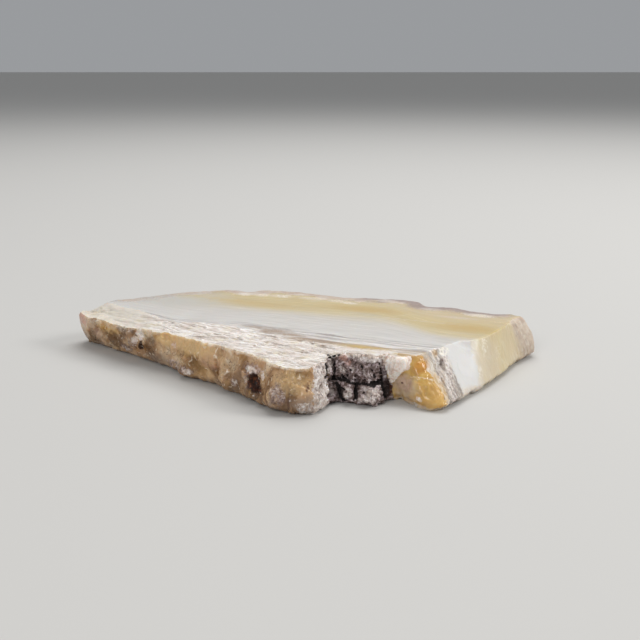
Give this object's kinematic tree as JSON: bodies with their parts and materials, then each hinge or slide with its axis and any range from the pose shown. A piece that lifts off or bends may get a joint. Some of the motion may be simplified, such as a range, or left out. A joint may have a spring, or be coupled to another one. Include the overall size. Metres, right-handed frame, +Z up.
{
  "type": "hokkaidoite slice",
  "caption": "Thin sawn slice of layered opal rock with a flat polished face, a rough natural edge and a broken notch, lying flat on its sawn underside.",
  "frame": {"origin": "middle of the underside of the slice's box", "axes": "+X along the slice's length, towards the sawn end, +Y across it towards the far rind, +Z up, out of the polished face"},
  "size_m": [0.0578, 0.0376, 0.005],
  "materials": {
    "layered_opal": "polished on top, waxy to chalky on the natural edge"
  },
  "bodies": {
    "root": {"hokkaidoite_slice": "layered_opal"}
  },
  "joints": []
}
